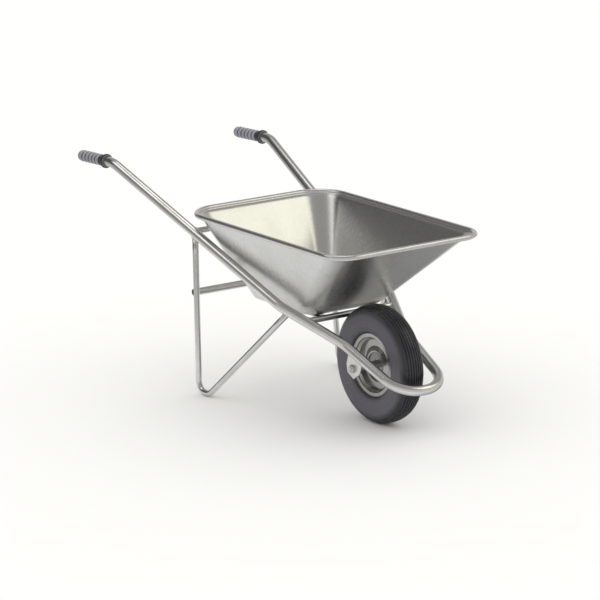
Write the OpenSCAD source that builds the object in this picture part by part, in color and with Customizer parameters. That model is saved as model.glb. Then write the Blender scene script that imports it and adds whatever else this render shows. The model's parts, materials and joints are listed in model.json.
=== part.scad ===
// Wheelbarrow: a pressed steel tray on a bent-tube frame with one pneumatic wheel.
// X runs forward, Y to the left and Z up. The ground is z = 0, and x = 0 is
// halfway between the grip ends and the front of the frame loop.

/* [Overall] */
// Length from the grip ends to the front of the frame loop
overall_l = 1564; // [1550:2:1580]
// Distance from the front of the frame loop back to the axle
axle_setback = 260; // [256:1:266]

/* [Frame tube] */
// Outer diameter of the frame tube
frame_d = 34; // [32:0.5:35]
// Wall thickness of the frame tube
frame_wall = 2; // [1.5:0.5:3]
// Slope of the frame tube, down towards the wheel
frame_slope = 22.7; // [22.4:0.1:23]
// Height of the frame tube's centre line over the axle
frame_over_axle = 67.8; // [67.4:0.2:69]
// Half the distance between the handles
handle_half_w = 332.5; // [328:0.5:338]
// Length of each handle's rear part, grip included
handle_l = 207; // [200:1:216]
// Slope of the handle's rear part, down towards the grip's end
handle_droop = 2.8; // [2:0.2:3.6]
// Distance up the slope from the axle to the shoulder bend
shoulder_back = 277.5; // [275:0.5:281]
// Half the distance between the rails at the shoulder bend
shoulder_half_w = 222.4; // [221.4:0.2:224]
// Distance up the slope from the axle to the waist bend
waist_back = 28.5; // [25:0.5:31]
// Half the distance between the rails at the waist bend
waist_half_w = 126; // [125:0.5:127]
// Half the distance between the rails at the corners of the front loop
loop_half_w = 94; // [92:0.5:96]
// Centre-line bend radius of the handles
handle_bend_r = 100; // [80:5:120]
// Centre-line bend radius of the shoulder and waist
rail_bend_r = 160; // [140:5:170]
// Centre-line bend radius of the front loop
loop_bend_r = 96; // [90:1:100]

/* [Cross tubes] */
// Outer diameter of the two tubes between the rails
cross_d = 21; // [20:0.5:22]
// Wall thickness of the cross tubes, the legs and the leg brace
small_wall = 1.5; // [1:0.5:2.5]
// Distance from the axle back to the front cross tube
front_cross_back = 165; // [163:1:167]
// Distance from the axle back to the rear cross tube
rear_cross_back = 686; // [684:1:690]

/* [Legs] */
// Outer diameter of the leg tubes
leg_d = 21; // [20:0.5:22]
// Distance from the axle back to the top of each leg
leg_top_back = 675; // [672:1:678]
// Distance from the axle back to the heel, where the leg meets the ground
leg_heel_back = 630; // [626:1:634]
// Distance from the axle back to the toe, where the stay leaves the ground
leg_toe_back = 566; // [560:1:570]
// Distance from the axle back to the front end of the stay
stay_front_back = 223; // [220:1:230]
// Half the distance between the feet
foot_half_w = 298; // [292:1:304]
// Centre-line bend radius at the heel and the toe
foot_bend_r = 40; // [34:1:42]
// Outer diameter of the brace across the legs
brace_d = 25; // [24:0.5:26]
// Height of the leg brace's centre line
brace_z = 342; // [336:1:350]
// Length of the leg brace
brace_l = 564; // [558:2:576]

/* [Grips] */
// Length of each grip
grip_l = 166; // [160:1:172]
// Diameter of the grip body
grip_d = 38; // [37:0.5:40]
// Diameter of the collar at the front of the grip
grip_collar_d = 50; // [46:1:52]
// Width of the grip collar
grip_collar_w = 9; // [7:0.5:11]
// Number of raised rings round the grip
grip_rings = 6; // [4:1:7]

/* [Tray] */
// Length of the tray over its rolled rim
tray_l = 906; // [902:2:910]
// Width of the tray over its rolled rim
tray_w = 615; // [612:1:618]
// Height of the top of the rim above the ground, midway along the tray
tray_top_z = 635; // [633:1:638]
// Tilt of the whole tray, front end up
tray_tilt = 0.7; // [0.5:0.1:0.9]
// Distance from the axle back to the middle of the tray
tray_mid_back = 268.5; // [267:0.5:270]
// Depth of the tray from the middle of the rolled rim to the floor's underside
tray_depth = 281; // [279:0.5:281.5]
// Length of the tray floor between the walls
floor_l = 334; // [330:2:338]
// Width of the tray floor between the walls
floor_w = 329; // [325:1:331]
// Distance from the middle of the tray forward to the front edge of the floor
floor_front = 89; // [87:1:90]
// Radius of the rim's front corners
rim_front_r = 91; // [88:1:94]
// Radius of the rim's rear corners
rim_rear_r = 125; // [120:1:130]
// Radius of the floor's front corners
floor_front_r = 62; // [56:1:64]
// Radius of the floor's rear corners
floor_rear_r = 40; // [36:1:46]
// Thickness of the tray's steel sheet
tray_t = 1.5; // [1.3:0.1:1.7]
// Diameter of the rolled rim
bead_d = 18; // [17.5:0.5:18.5]
// Diameter of the wire inside the rolled rim
wire_d = 12; // [11:0.5:12.5]

/* [Wheel] */
// Outer diameter of the tyre
tyre_d = 400; // [398:1:402]
// Greatest width of the tyre
tyre_w = 95; // [92:1:98]
// Outer diameter of the rim flanges
flange_d = 216; // [214:1:218]
// Width over the rim flanges
flange_w = 69; // [68:0.5:70]
// Thickness of the pressed wheel halves
wheel_t = 2; // [1.8:0.1:2.4]
// Diameter of the hub's end cups
hub_d = 82; // [78:1:84]
// Width of the hub over its end cups
hub_w = 40; // [39:0.5:42]

/* [Axle] */
// Diameter of the axle between the brackets
axle_d = 20; // [19:0.5:20]
// Diameter of the axle's threaded ends
axle_end_d = 16; // [14:1:16]
// Distance from the middle of the wheel to each bracket's inner face
bracket_y = 108; // [107:0.5:109]
// Thickness of the axle brackets
bracket_t = 4; // [3:0.5:5]
// Outer diameter of the spacers on the axle
spacer_d = 26; // [25:0.5:27]

/* [Hidden] */
$fn = 64;

// Small allowances
cut = 1;             // how far a cutting shape passes the face it cuts
weld_gap = 0.1;      // gap left round a tube end that is welded to another tube
bend_lap = 0.5;      // length of each straight run inside the bend it joins
bend_swell = 0.05;   // extra thickness of a bend on each face of the tube wall
bolt_gap = 0.4;      // radial clearance of a bolt in its hole
slip = 0.05;         // radial clearance of a part that is pushed onto the axle

// Colours
steel = "silver";
zinc = "gainsboro";
black_rubber = "#33353c";
grip_rubber = "#2e3038";

// Frame: the tube lies in one plane that slopes down to the front
axle_x = overall_l / 2 - axle_setback;
axle_z = tyre_d / 2;
frame_r = frame_d / 2;
plane_z = axle_z + frame_over_axle;
loop_front = (axle_setback - frame_r) / cos(frame_slope);
handle_bend_x = handle_l - overall_l / 2;
handle_bend_back = (axle_x - handle_bend_x) / cos(frame_slope);
handle_z = plane_z + handle_bend_back * sin(frame_slope);

// Grips: the end is rounded, so its rearmost point lies a little below the axis
grip_end_wall = 4;
grip_end_r = 9;
grip_r = grip_d / 2;
grip_over = (grip_r - grip_end_r) * sin(handle_droop) + grip_end_r * (1 - cos(handle_droop));
grip_end_x = grip_over - overall_l / 2;
// Point on the left handle's axis, from the grip's end face
function on_handle(d) = [grip_end_x + d * cos(handle_droop), handle_half_w,
    handle_z - (handle_bend_x - grip_end_x) * tan(handle_droop) + d * sin(handle_droop)];

// Point on the frame's plane: u up or down the slope from over the axle, v to the left
function on_frame(u, v) = [axle_x + u * cos(frame_slope), v, plane_z - u * sin(frame_slope)];
// The same, from a level distance back from the axle
function frame_at(back, v) = on_frame(-back / cos(frame_slope), v);
// Distance of a rail's centre line from the middle, at a level distance back from the axle
function between(x, x0, y0, x1, y1) = y0 + (y1 - y0) * (x - x0) / (x1 - x0);
function rail_v(back) = let (u = back / cos(frame_slope)) u > shoulder_back
    ? between(u, shoulder_back, shoulder_half_w, handle_bend_back, handle_half_w)
    : between(u, waist_back, waist_half_w, shoulder_back, shoulder_half_w);

left_rail_points = [
    on_handle(grip_end_wall),
    on_frame(-handle_bend_back, handle_half_w),
    on_frame(-shoulder_back, shoulder_half_w),
    on_frame(-waist_back, waist_half_w),
    on_frame(loop_front, loop_half_w)];
left_rail_bends = [handle_bend_r, rail_bend_r, rail_bend_r, loop_bend_r];
frame_points = concat(left_rail_points, mirrored(reversed(left_rail_points)));
frame_bends = concat(left_rail_bends, reversed(left_rail_bends));

// The same points on the other side of the middle
function mirrored(list) = [for (p = list) len(p) == 3 ? [p.x, -p.y, p.z] : [p.x, -p.y]];
function reversed(list) = [for (i = [len(list) - 1 : -1 : 0]) list[i]];

// Legs: one V-shaped tube each side, welded under the rail at both ends
leg_r = leg_d / 2;
leg_top = frame_at(leg_top_back, rail_v(leg_top_back));
stay_front = frame_at(stay_front_back, rail_v(stay_front_back));
heel = [axle_x - leg_heel_back, foot_half_w, leg_r];
toe = [axle_x - leg_toe_back, foot_half_w, leg_r];
leg_points = [leg_top, heel, toe, stay_front];
leg_bends = [foot_bend_r, foot_bend_r];
leg_lean = atan2(heel.x - leg_top.x, leg_top.z - heel.z);
leg_x_at_brace = between(brace_z, heel.z, heel.x, leg_top.z, leg_top.x);
brace_x = leg_x_at_brace - (leg_r + brace_d / 2 + weld_gap) / cos(leg_lean);

// Tray, in its own tilted frame: the origin is in the middle of the rim, level with the
// centre of the rolled edge. The floor and the rim are rounded rectangles joined by flat
// sloping walls, and a narrow lip runs from the top of the walls out to the rolled edge.
tray_mid_x = axle_x - tray_mid_back;
bead_r = bead_d / 2;
tray_mid_z = tray_top_z - bead_r;
tray_half_l = tray_l / 2;
tray_half_w = tray_w / 2;
floor_z = -tray_depth;
floor_rear = floor_front - floor_l;
floor_round = 9;          // height of the rounded edge under the floor
lip_z = -4.5;             // height of the lip's underside
wall_top_z = lip_z + tray_t;
wall_front_in = 26;       // distance from the rim's edge in to the top of each wall
wall_rear_in = 22;
wall_side_in = 23;
wall_front_r = 73;        // radius of the corners at the top of the walls
wall_rear_r = 91;
lip_reach = 1.8;          // distance the lip goes into the rolled edge
rear_top = wall_rear_in - tray_half_l;
rear_lean = atan2(floor_rear - rear_top, wall_top_z - floor_z);
// A point's place in the tray's own frame
function in_tray(p) = let (q = p - [tray_mid_x, 0, tray_mid_z])
    [q.x * cos(tray_tilt) + q.z * sin(tray_tilt), q.y,
    q.z * cos(tray_tilt) - q.x * sin(tray_tilt)];

// Tray fastenings: bolts through dimples in the floor, studs on the rear wall
tab_t = 4;
tab_w = 36;
dimple_r = 16;
dimple_depth = 3.5;
tray_bolt_y = 110;
tray_bolt_x = floor_front - 40;
tray_bolt_d = 8;
bolt_head_r = 10;
bolt_head_h = 2.6;
washer_r = 8;
washer_t = 1.6;
nut_flats = 13;
nut_h = 6.5;
front_cross = in_tray(frame_at(front_cross_back, 0));
rear_cross = in_tray(frame_at(rear_cross_back, 0));
tab_top_z = floor_z - dimple_depth;
stud_down = 22;           // distance of the stud down the wall from the rear tab's web
stud_l = 16;
rear_tab_l = 36;
tab_off = 0.3;            // gap between the rear wall and the tabs and studs on it
// Distance of the rear cross tube's centre from the outside of the rear wall
rear_cross_off = (floor_rear - rear_cross.x) * cos(rear_lean)
    - (rear_cross.z - floor_z) * sin(rear_lean);
// Point on the outside of the rear wall that is nearest to the rear cross tube
rear_foot = [rear_cross.x + rear_cross_off * cos(rear_lean), 0,
    rear_cross.z + rear_cross_off * sin(rear_lean)];

// Wheel section: r is the distance from the axle and y the distance from the middle
flange_r = flange_d / 2;
lip_r = 1.5;
flange_y = flange_w / 2 - lip_r;
seat_r = flange_r - 11.5;
well_r = seat_r - 8.5;
well_half_w = 21;
seat_y = well_half_w + 6;
web_y = 10;               // inner face of the web outside the cone
web_flat_r = 62;
web_cone_r = 46;
hub_r = hub_d / 2;
hub_y = hub_w / 2;
hub_face_y = hub_y - 2;   // where the web's inner ring meets the hub
cup_wall = 3;
cup_depth = 5;
fit_gap = 0.1;
groove_w = 3;
groove_depth = 3.5;
groove_y = [-26, -13, 0, 13, 26];
shoulder_r = 163;         // radius at which the tyre is widest
bulge = 2.3;              // squareness of the tyre's crown
bead_toe_y = well_half_w + 2;
tread_t = 9;
side_t = 5;
tube_wall = 2.5;
crown_steps = 20;

// Bearings: width, and radii of the bore, races and outside
race_w = 12;
race_out_r = 21;
race_y = hub_y - cup_depth - race_w;
ball_r = 3.2;
ball_track_r = 15.5;
track_gap = 0.1;
ball_count = 8;
race_land = 2.5;          // distance of each race's land from the ball track
seal_in_r = spacer_d / 2 + 0.5;
seal_t = 1.6;
axle_r = axle_d / 2;
axle_end_r = axle_end_d / 2;

// Axle fastenings
axle_washer_r = 15;
axle_washer_t = 2;
axle_nut_flats = 24;
axle_nut_h = 8;
axle_thread_l = bracket_y + bracket_t + axle_washer_t + axle_nut_h + 2;
bracket_outline = [[-20, 60], [-34, 10], [-28, -17], [5, -34], [38, -11], [46, 14], [52, 46]];

// Valve
valve_y = 17;
valve_r = 3.8;
valve_in_r = 64;
valve_out_r = 98;
valve_cap_r = 4.6;
valve_cap_l = 11;

function unit(v) = v / norm(v);

// Straight run from a to b of the section drawn by its children
module run(a, b) {
    d = b - a;
    translate(a)
        rotate([0, acos(d.z / norm(d)), atan2(d.y, d.x)])
            linear_extrude(norm(d))
                children();
}

// Round bar or bore from a to b
module bar(a, b, r) {
    run(a, b)
        circle(r);
}

module tube_section(r, wall) {
    difference() {
        circle(r);
        circle(r - wall);
    }
}

module tube(a, b, r, wall) {
    run(a, b)
        tube_section(r, wall);
}

// Length of straight that a bend at point b takes from each side
function bend_reach(a, b, c, bend_r) =
    bend_r * tan(acos(unit(b - a) * unit(c - b)) / 2);

// Turn from the line a-b to the line b-c, with the section drawn by its children
module bend(a, b, c, bend_r) {
    d_in = unit(b - a);
    d_out = unit(c - b);
    normal = unit(cross(d_in, d_out));
    outward = cross(d_in, normal);
    centre = b - d_in * bend_reach(a, b, c, bend_r) - outward * bend_r;
    multmatrix([
        [outward.x, d_in.x, normal.x, centre.x],
        [outward.y, d_in.y, normal.y, centre.y],
        [outward.z, d_in.z, normal.z, centre.z],
        [0, 0, 0, 1]])
        rotate_extrude(angle = acos(d_in * d_out))
            translate([bend_r, 0])
                children();
}

// Tube through all the points, with a bend at each one between the ends.
// The runs reach a little way into the bends, whose walls are a hair thicker.
module bent_tube(points, bends, r, wall) {
    last = len(points) - 1;
    for (i = [0 : last - 1]) {
        a = points[i];
        b = points[i + 1];
        from = i == 0 ? 0 : bend_reach(points[i - 1], a, b, bends[i - 1]) - bend_lap;
        to = i == last - 1 ? 0 : bend_reach(a, b, points[i + 2], bends[i]) - bend_lap;
        tube(a + unit(b - a) * from, b - unit(b - a) * to, r, wall);
    }
    for (i = [1 : last - 1])
        bend(points[i - 1], points[i], points[i + 1], bends[i - 1])
            tube_section(r + bend_swell, wall + 2 * bend_swell);
}

// Rail on the left as a plain bar, for cutting the ends of tubes that meet it
module left_rail_bar(r) {
    bar(on_frame(-handle_bend_back, handle_half_w), on_frame(-shoulder_back, shoulder_half_w), r);
    bar(on_frame(-shoulder_back, shoulder_half_w), on_frame(-waist_back, waist_half_w), r);
    bar(on_frame(-waist_back, waist_half_w), on_frame(loop_front, loop_half_w), r);
}

module both_sides() {
    children();
    mirror([0, 1, 0])
        children();
}

// Places its children on the wheel's axis, with local Z along the axle to the left
module on_axle() {
    translate([axle_x, 0, axle_z])
        rotate([-90, 0, 0])
            children();
}

// Ring about the axle between two distances from the middle, on one side
module axle_ring(y0, y1, r_out, r_in) {
    on_axle()
        translate([0, 0, y0])
            difference() {
                cylinder(h = y1 - y0, r = r_out);
                translate([0, 0, -cut])
                    cylinder(h = y1 - y0 + 2 * cut, r = r_in);
            }
}

module hex_nut(flats, h, bore_r) {
    difference() {
        cylinder(h = h, d = flats / cos(30), $fn = 6);
        translate([0, 0, -cut])
            cylinder(h = h + 2 * cut, r = bore_r);
    }
}

module frame_tube() {
    color(zinc)
        bent_tube(frame_points, frame_bends, frame_r, frame_wall);
}

// Straight tube between the two rails, cut to fit round them
module cross_tube(back) {
    end = frame_at(back, rail_v(back));
    color(zinc)
        difference() {
            tube([end.x, -end.y, end.z], end, cross_d / 2, small_wall);
            both_sides()
                left_rail_bar(frame_r + weld_gap);
        }
}

module left_leg() {
    color(zinc)
        difference() {
            bent_tube(leg_points, leg_bends, leg_r, small_wall);
            left_rail_bar(frame_r + weld_gap);
        }
}

module right_leg() {
    mirror([0, 1, 0])
        left_leg();
}

module leg_brace() {
    color(zinc)
        tube([brace_x, -brace_l / 2, brace_z], [brace_x, brace_l / 2, brace_z],
            brace_d / 2, small_wall);
}

// Closed rubber sleeve with a collar and raised rings; its mouth faces forward
module left_grip() {
    ring_h = 1.4;
    ring_w = 6;
    rings_start = grip_end_r + 8;
    ring_step = (grip_l - grip_collar_w - rings_start - 14) / grip_rings;
    color(grip_rubber)
        translate(on_handle(0))
            rotate([0, 90 - handle_droop, 0])
                difference() {
                    union() {
                        rotate_extrude()
                            difference() {
                                union() {
                                    translate([0, grip_end_r])
                                        square([grip_r, grip_l - grip_end_r]);
                                    square([grip_r - grip_end_r, grip_end_r + cut]);
                                    translate([grip_r - grip_end_r, grip_end_r])
                                        circle(grip_end_r);
                                }
                                translate([-grip_end_r - cut, 0])
                                    square([grip_end_r + cut, grip_l]);
                            }
                        translate([0, 0, grip_l - grip_collar_w])
                            cylinder(h = grip_collar_w, d = grip_collar_d);
                        for (i = [0 : grip_rings - 1])
                            translate([0, 0, rings_start + i * ring_step])
                                cylinder(h = ring_w, r = grip_r + ring_h);
                    }
                    translate([0, 0, grip_end_wall])
                        cylinder(h = grip_l, r = frame_r);
                }
}

module right_grip() {
    mirror([0, 1, 0])
        left_grip();
}

// Places its children in the tray's own frame
module on_tray() {
    translate([tray_mid_x, 0, tray_mid_z])
        rotate([0, -tray_tilt, 0])
            children();
}

// Rounded plate from x0 to x1 with its own corner radii at the front and the rear
module rounded_plate(x0, x1, half_w, front_r, rear_r, z, h) {
    translate([0, 0, z])
        linear_extrude(h)
            for (sy = [-1, 1]) {
                translate([x1 - front_r, sy * (half_w - front_r)])
                    circle(front_r, $fn = 48);
                translate([x0 + rear_r, sy * (half_w - rear_r)])
                    circle(rear_r, $fn = 48);
            }
}

// Level slice of the tray's body, a given part of the way up; grow makes it bigger
module tray_slice(part, grow, z) {
    slab = 0.5;
    rounded_plate(between(part, 0, floor_rear, 1, rear_top) - grow,
        between(part, 0, floor_front, 1, tray_half_l - wall_front_in) + grow,
        between(part, 0, floor_w / 2, 1, tray_half_w - wall_side_in) + grow,
        between(part, 0, floor_front_r, 1, wall_front_r) + grow,
        between(part, 0, floor_rear_r, 1, wall_rear_r) + grow, z, slab);
}

// Solid block with the tray's sloping sides; grow makes it bigger all round
module tray_block(grow, bottom_z, top_z) {
    rise = floor_round / (wall_top_z - floor_z);
    hull() {
        tray_slice(0, grow - floor_round, bottom_z);
        tray_slice(rise, grow, bottom_z + floor_round);
        tray_slice(1, grow, top_z);
    }
}

// Ring that follows the rim, with its children as the section round the bead's centre
module rim_ring() {
    for (sx = [-1, 1], sy = [-1, 1])
        to_corner(sx, sy) {
            corner_r = sx > 0 ? rim_front_r : rim_rear_r;
            line_r = corner_r - bead_r;
            side_l = tray_half_l - corner_r;
            end_l = tray_half_w - corner_r;
            translate([side_l, end_l, 0]) {
                rotate_extrude(angle = 90)
                    translate([line_r, 0])
                        children();
                translate([line_r, 0, 0])
                    rotate([90, 0, 0])
                        linear_extrude(end_l)
                            children();
                translate([0, line_r, 0])
                    rotate([90, 0, -90])
                        linear_extrude(side_l)
                            mirror([1, 0])
                                children();
            }
        }
}

module to_corner(sx, sy) {
    mirror([sx < 0 ? 1 : 0, 0, 0])
        mirror([0, sy < 0 ? 1 : 0, 0])
            children();
}

// Filled rounded rectangle a given distance inside the rim's outer edge
module rim_outline(inset) {
    half_l = tray_half_l - inset;
    half_w = tray_half_w - inset;
    front_r = rim_front_r - inset;
    rear_r = rim_rear_r - inset;
    translate([rear_r - half_l, -half_w])
        square([2 * half_l - front_r - rear_r, 2 * half_w]);
    translate([-half_l, rear_r - half_w])
        square([rear_r + cut, 2 * (half_w - rear_r)]);
    translate([half_l - front_r - cut, front_r - half_w])
        square([front_r + cut, 2 * (half_w - front_r)]);
    for (sy = [-1, 1]) {
        translate([half_l - front_r, sy * (half_w - front_r)])
            circle(front_r);
        translate([rear_r - half_l, sy * (half_w - rear_r)])
            circle(rear_r);
    }
}

module tray() {
    color(steel)
        on_tray()
            difference() {
                union() {
                    tray_block(0, floor_z, wall_top_z - 0.5);
                    translate([0, 0, lip_z])
                        linear_extrude(tray_t)
                            rim_outline(bead_d - lip_reach);
                    rim_ring()
                        difference() {
                            circle(bead_r);
                            circle(bead_r - tray_t);
                        }
                    both_sides()
                        translate([tray_bolt_x, tray_bolt_y, tab_top_z])
                            cylinder(h = dimple_depth + tray_t / 2, r = dimple_r + tray_t);
                }
                tray_block(-tray_t, floor_z + tray_t, wall_top_z + cut);
                both_sides()
                    translate([tray_bolt_x, tray_bolt_y, tab_top_z]) {
                        translate([0, 0, tray_t])
                            cylinder(h = dimple_depth + cut, r = dimple_r);
                        translate([0, 0, -cut])
                            cylinder(h = tray_t + 2 * cut, r = tray_bolt_d / 2 + bolt_gap);
                    }
            }
}

module rim_wire() {
    color(zinc)
        on_tray()
            rim_ring()
                circle(d = wire_d);
}

// Cuts its first child to fit round a cross tube that lies at a point in the tray's frame
module fitted_to(cross) {
    difference() {
        children();
        bar(cross - [0, tray_w / 2, 0], cross + [0, tray_w / 2, 0], cross_d / 2 + weld_gap);
    }
}

// Tabs welded behind the front cross tube, under the dimples in the floor
module front_tray_tabs() {
    tab_end = tray_bolt_x - tab_w / 2;
    color(zinc)
        on_tray()
            fitted_to(front_cross)
                both_sides()
                    difference() {
                        translate([tab_end, tray_bolt_y - tab_w / 2, tab_top_z - tab_t])
                            cube([front_cross.x - tab_end, tab_w, tab_t]);
                        translate([tray_bolt_x, tray_bolt_y, tab_top_z - tab_t - cut])
                            cylinder(h = tab_t + 2 * cut, r = tray_bolt_d / 2 + bolt_gap);
                    }
}

// Places its children on the rear wall's outside, in the tray's frame: local Z points away
// from the wall and local X up it
module on_rear_wall(up) {
    translate(rear_foot)
        rotate([0, -90 - rear_lean, 0])
            translate([up, 0, 0])
                children();
}

// Angle tabs from the rear cross tube to the rear wall
module rear_tray_tabs() {
    color(zinc)
        on_tray()
            fitted_to(rear_cross)
                both_sides()
                    difference() {
                        on_rear_wall(0)
                            translate([-rear_tab_l, tray_bolt_y - tab_w / 2, tab_off]) {
                                cube([rear_tab_l, tab_w, tab_t]);
                                translate([rear_tab_l - tab_t, 0, 0])
                                    cube([tab_t, tab_w, rear_cross_off]);
                            }
                        on_rear_wall(-stud_down)
                            translate([0, tray_bolt_y, -cut])
                                cylinder(h = tab_t + 3 * cut, r = tray_bolt_d / 2 + bolt_gap);
                    }
}

module tray_bolts() {
    shank_l = tray_t + tab_t + washer_t + nut_h + 4;
    color(zinc)
        on_tray()
            both_sides()
                translate([tray_bolt_x, tray_bolt_y, tab_top_z + tray_t]) {
                    cylinder(h = bolt_head_h, r1 = bolt_head_r, r2 = bolt_head_r - 2);
                    translate([0, 0, -shank_l])
                        cylinder(h = shank_l, d = tray_bolt_d);
                }
}

module tray_studs() {
    color(zinc)
        on_tray()
            both_sides()
                on_rear_wall(-stud_down)
                    translate([0, tray_bolt_y, tab_off])
                        cylinder(h = stud_l, d = tray_bolt_d);
}

// Places its children at each of the four tray fastenings, outside the tab
module at_tray_nuts() {
    on_tray()
        both_sides() {
            translate([tray_bolt_x, tray_bolt_y, tab_top_z - tab_t])
                rotate([180, 0, 0])
                    children();
            on_rear_wall(-stud_down)
                translate([0, tray_bolt_y, tab_off + tab_t])
                    children();
        }
}

module tray_washers() {
    color(zinc)
        at_tray_nuts()
            difference() {
                cylinder(h = washer_t, r = washer_r);
                translate([0, 0, -cut])
                    cylinder(h = washer_t + 2 * cut, r = tray_bolt_d / 2 + bolt_gap);
            }
}

module tray_nuts() {
    color(zinc)
        at_tray_nuts()
            translate([0, 0, washer_t])
                hex_nut(nut_flats, nut_h, tray_bolt_d / 2 + slip);
}

// Plate welded under the rail, with a pointed lower end and the axle hole
module left_axle_bracket() {
    color(steel)
        difference() {
            translate([axle_x, bracket_y + bracket_t, axle_z])
                rotate([90, 0, 0])
                    linear_extrude(bracket_t)
                        polygon(bracket_outline);
            left_rail_bar(frame_r + weld_gap);
            on_axle()
                cylinder(h = 2 * bracket_y, r = axle_end_r + bolt_gap / 2);
        }
}

module right_axle_bracket() {
    mirror([0, 1, 0])
        left_axle_bracket();
}

module axle() {
    color(zinc)
        on_axle() {
            translate([0, 0, -bracket_y])
                cylinder(h = 2 * bracket_y, r = axle_r);
            translate([0, 0, -axle_thread_l])
                cylinder(h = 2 * axle_thread_l, r = axle_end_r);
        }
}

module axle_washers() {
    inner = bracket_y + bracket_t;
    color(zinc)
        both_sides()
            axle_ring(inner, inner + axle_washer_t, axle_washer_r, axle_end_r + bolt_gap / 2);
}

module axle_nuts() {
    color(zinc)
        both_sides()
            on_axle()
                translate([0, 0, bracket_y + bracket_t + axle_washer_t])
                    hex_nut(axle_nut_flats, axle_nut_h, axle_end_r + slip);
}

module left_spacer() {
    color(zinc)
        axle_ring(race_y + race_w, bracket_y, spacer_d / 2, axle_r + 2 * slip);
}

module right_spacer() {
    mirror([0, 1, 0])
        left_spacer();
}

module centre_spacer() {
    color(zinc)
        axle_ring(-race_y, race_y, ball_track_r - race_land, axle_r + 2 * slip);
}

// One race with its ball groove
module race(r_in, r_out) {
    on_axle()
        translate([0, 0, race_y])
            rotate_extrude()
                difference() {
                    translate([r_in, 0])
                        square([r_out - r_in, race_w]);
                    translate([ball_track_r, race_w / 2])
                        circle(ball_r + track_gap);
                }
}

module bearing_inner_rings() {
    color(steel)
        both_sides()
            race(axle_r + slip, ball_track_r - race_land);
}

module bearing_outer_rings() {
    color(steel)
        both_sides()
            race(ball_track_r + race_land, race_out_r);
}

module bearing_balls() {
    color(steel)
        both_sides()
            on_axle()
                for (i = [0 : ball_count - 1])
                    rotate(i * 360 / ball_count)
                        translate([ball_track_r, 0, race_y + race_w / 2])
                            sphere(ball_r);
}

module bearing_seals() {
    inner = race_y + race_w;
    color(black_rubber)
        both_sides()
            axle_ring(inner, inner + seal_t, hub_r - cup_wall - slip, seal_in_r);
}

// Turned hub with a bore for both bearings and a shallow cup at each end
module hub() {
    core_r = race_out_r + 5;
    flange_t = 3;
    half = [[race_out_r, hub_y - cup_depth], [hub_r - cup_wall, hub_y - cup_depth],
        [hub_r - cup_wall, hub_y], [hub_r - fit_gap, hub_y],
        [hub_r - fit_gap, hub_y - cup_depth - flange_t], [core_r, hub_y - cup_depth - flange_t]];
    color(steel)
        on_axle()
            rotate_extrude()
                polygon(concat(half, mirrored(reversed(half))));
}

// Pressed wheel half: half of the rim well, a bead seat, a rolled flange and the web
module wheel_half() {
    t = wheel_t;
    rotate_extrude() {
        polygon([[well_r, 0], [well_r, well_half_w], [seat_r, seat_y], [seat_r, flange_y - t],
            [flange_r - lip_r, flange_y - t], [flange_r - lip_r, flange_y],
            [seat_r - t, flange_y], [seat_r - t, seat_y + t / 2],
            [well_r - t, well_half_w + t / 2], [well_r - t, 0]]);
        translate([flange_r - lip_r, flange_y])
            circle(lip_r);
        polygon([[well_r - t / 2, web_y], [well_r - t / 2, web_y + t], [web_flat_r, web_y + t],
            [web_cone_r, hub_face_y], [hub_r, hub_face_y], [hub_r, hub_face_y - t],
            [web_cone_r - t / 2, hub_face_y - t], [web_flat_r - t / 2, web_y]]);
    }
}

module left_wheel_half() {
    color(steel)
        difference() {
            on_axle()
                wheel_half();
            valve_bar(valve_in_r, valve_out_r, valve_r + fit_gap);
        }
}

module right_wheel_half() {
    color(steel)
        mirror([0, 1, 0])
            on_axle()
                wheel_half();
}

// Radial bar on the valve's line, above the axle and left of the middle
module valve_bar(r0, r1, r) {
    bar([axle_x, valve_y, axle_z + r0], [axle_x, valve_y, axle_z + r1], r);
}

// Distance from the middle to a point on the tyre's crown curve, at radius r
function crown_y(r, top_r, half_w) =
    half_w * pow(max(0, 1 - pow((r - shoulder_r) / (top_r - shoulder_r), bulge)), 1 / bulge);
// Radius of the tyre's crown at distance y from the middle
function crown_r(y) = shoulder_r + (tyre_d / 2 - shoulder_r)
    * pow(1 - pow(2 * abs(y) / tyre_w, bulge), 1 / bulge);
// Crown and side curve of one half of the section, from the crown down to foot_r
function half_section(top_r, half_w, foot_r, foot_y) = concat(
    [for (i = [0 : crown_steps])
        let (r = shoulder_r + (top_r - shoulder_r) * cos(90 * i / crown_steps))
        [r, crown_y(r, top_r, half_w)]],
    [for (i = [1 : crown_steps])
        let (a = 90 * i / crown_steps)
        [shoulder_r - (shoulder_r - foot_r) * sin(a), foot_y + (half_w - foot_y) * cos(a)]]);

// The whole curve, from one foot over the crown to the other
function whole_section(top_r, half_w, foot_r, foot_y) =
    let (half = half_section(top_r, half_w, foot_r, foot_y))
    concat(reversed(half), mirrored([for (i = [1 : len(half) - 1]) half[i]]));

module tyre() {
    top_r = tyre_d / 2;
    foot_r = seat_r + 0.2;
    foot_y = flange_y - wheel_t - 0.2;
    // The side comes down to just outside the flange, then steps in behind it
    step_r = flange_r + 1.5;
    outer = whole_section(top_r, tyre_w / 2, step_r, flange_w / 2 + 1.5);
    inner = whole_section(top_r - tread_t, tyre_w / 2 - side_t, seat_r + 8, bead_toe_y);
    color(black_rubber)
        on_axle()
            rotate_extrude()
                difference() {
                    polygon(concat(outer,
                        [[step_r, -foot_y], [foot_r, -foot_y], [foot_r, -bead_toe_y]],
                        reversed(inner),
                        [[foot_r, bead_toe_y], [foot_r, foot_y], [step_r, foot_y]]));
                    for (y = groove_y)
                        translate([crown_r(y) - groove_depth, y - groove_w / 2])
                            square([2 * groove_depth, groove_w]);
                }
}

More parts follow.
